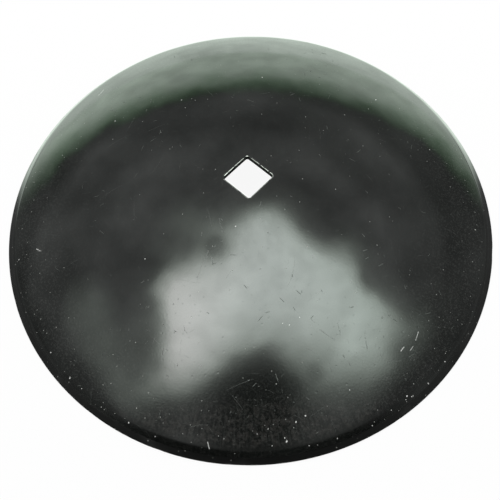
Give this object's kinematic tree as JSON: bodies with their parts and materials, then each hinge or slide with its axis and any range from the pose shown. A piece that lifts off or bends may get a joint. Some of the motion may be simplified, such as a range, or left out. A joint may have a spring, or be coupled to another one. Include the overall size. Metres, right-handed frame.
{
  "type": "harrow disc blade",
  "caption": "Round dished steel disc blade for a disc harrow, smooth bevelled edge, square hole in the middle for the gang axle, black lacquer finish.",
  "frame": {"origin": "centre of the circular cutting edge, in the plane the blade rests on when it lies convex side up", "axes": "+Z along the blade's axis to the convex side; X and Y square to the flats of the axle hole"},
  "size_m": [0.61, 0.61, 0.0896],
  "materials": {
    "black_lacquer": "gloss black lacquer over pressed boron steel"
  },
  "bodies": {
    "root": {"disc_blade": "black_lacquer"}
  },
  "joints": []
}
